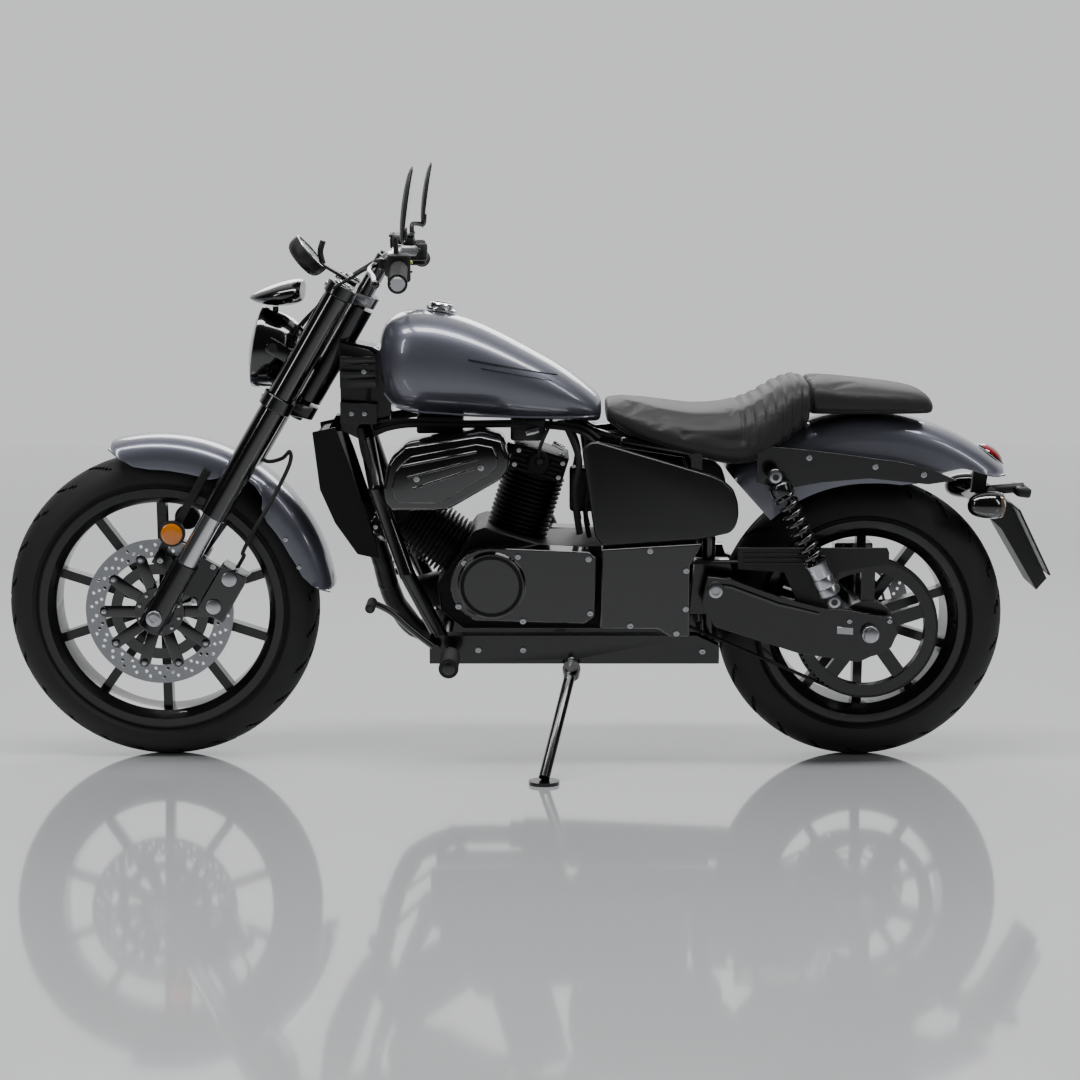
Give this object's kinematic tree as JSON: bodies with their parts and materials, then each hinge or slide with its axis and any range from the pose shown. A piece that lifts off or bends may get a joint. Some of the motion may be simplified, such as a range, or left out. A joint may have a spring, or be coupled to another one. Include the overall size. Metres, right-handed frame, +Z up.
{
  "type": "cruiser motorcycle",
  "caption": "Cruiser motorcycle with a black V-twin engine, blue-grey tank and fenders and a stepped saddle, parked on its side stand.",
  "frame": {"origin": "on the floor under the middle of the bounding box", "axes": "the front wheel points along -X, the rider's left is -Y and up is +Z; the bike leans 6 degrees to its left"},
  "size_m": [2.119, 0.7845, 1.2394],
  "materials": {
    "frame_black": "gloss black powder coat",
    "engine_black": "satin black paint",
    "cover_black": "gloss black paint",
    "exhaust_black": "satin black heat paint",
    "tank_paint": "blue-grey gloss paint",
    "saddle_vinyl": "matte black vinyl",
    "black_plastic": "fine-grained black plastic",
    "gloss_black_plastic": "gloss black plastic",
    "rubber_black": "matte rubber",
    "tyre_black": "matte tyre rubber",
    "rim_black": "satin black cast wheel",
    "disc_steel": "ground steel",
    "cap_chrome": "chrome",
    "axle_steel": "plated steel",
    "tube_chrome": "hard chrome",
    "red_lens": "red lens",
    "amber_lens": "amber lens",
    "lamp_glass": "clear lens",
    "plate_white": "blank pale plate",
    "radiator_black": "satin black"
  },
  "bodies": {
    "body": {"frame": "frame_black", "engine_block": "engine_black", "cylinders": "engine_black", "engine_covers": "cover_black", "pulley_cover": "cover_black", "air_cleaner": "cover_black", "exhaust": "exhaust_black", "radiator": "radiator_black", "neck_covers": "gloss_black_plastic", "fuel_tank": "tank_paint", "fuel_cap": "cap_chrome", "rider_saddle": "saddle_vinyl", "pillion_saddle": "saddle_vinyl", "side_covers": "cover_black", "rear_fender": "tank_paint", "fender_struts": "frame_black", "tail_light": "red_lens", "rear_signals": "black_plastic", "plate_holder": "black_plastic", "number_plate": "plate_white", "swingarm": "frame_black", "rear_axle": "axle_steel", "shocks": "frame_black", "belt_guard": "black_plastic", "drive_belt": "rubber_black", "rear_caliper": "cover_black", "foot_controls": "rubber_black"},
    "fork": {"triple_clamps": "frame_black", "fork_covers": "cover_black", "fork_tubes": "tube_chrome", "fork_sliders": "frame_black", "front_axle": "axle_steel", "front_fender": "tank_paint", "front_reflectors": "amber_lens", "headlight": "cover_black", "headlight_lens": "lamp_glass", "visor": "gloss_black_plastic", "gauge": "black_plastic", "handlebar": "frame_black", "grips": "rubber_black", "hand_controls": "black_plastic", "mirrors": "black_plastic", "front_caliper": "cover_black", "brake_hose": "rubber_black"},
    "front_wheel": {"front_tyre": "tyre_black", "front_rim": "rim_black", "front_disc": "disc_steel"},
    "rear_wheel": {"rear_tyre": "tyre_black", "rear_rim": "rim_black", "rear_pulley": "rim_black", "rear_disc": "disc_steel"},
    "stand": {"side_stand": "frame_black"}
  },
  "joints": [
    {"name": "steering", "type": "hinge", "parent": "body", "child": "fork", "pos_m": [-0.46637, 0.03338, 0.71283], "axis": [0.5075, -0.0901, 0.8569], "range_deg": [-35, 35]},
    {"name": "front_wheel_spin", "type": "hinge", "parent": "fork", "child": "front_wheel", "pos_m": [-0.7475, 0.07503, 0.31656], "axis": [0, -0.9945, -0.1045], "continuous": true},
    {"name": "rear_wheel_spin", "type": "hinge", "parent": "body", "child": "rear_wheel", "pos_m": [0.6815, 0.07763, 0.29178], "axis": [0, -0.9945, -0.1045], "continuous": true},
    {"name": "side_stand", "type": "hinge", "parent": "body", "child": "stand", "pos_m": [0.0875, -0.06565, 0.20092], "axis": [0, -0.7892, 0.6141], "range_deg": [0, 90]}
  ]
}
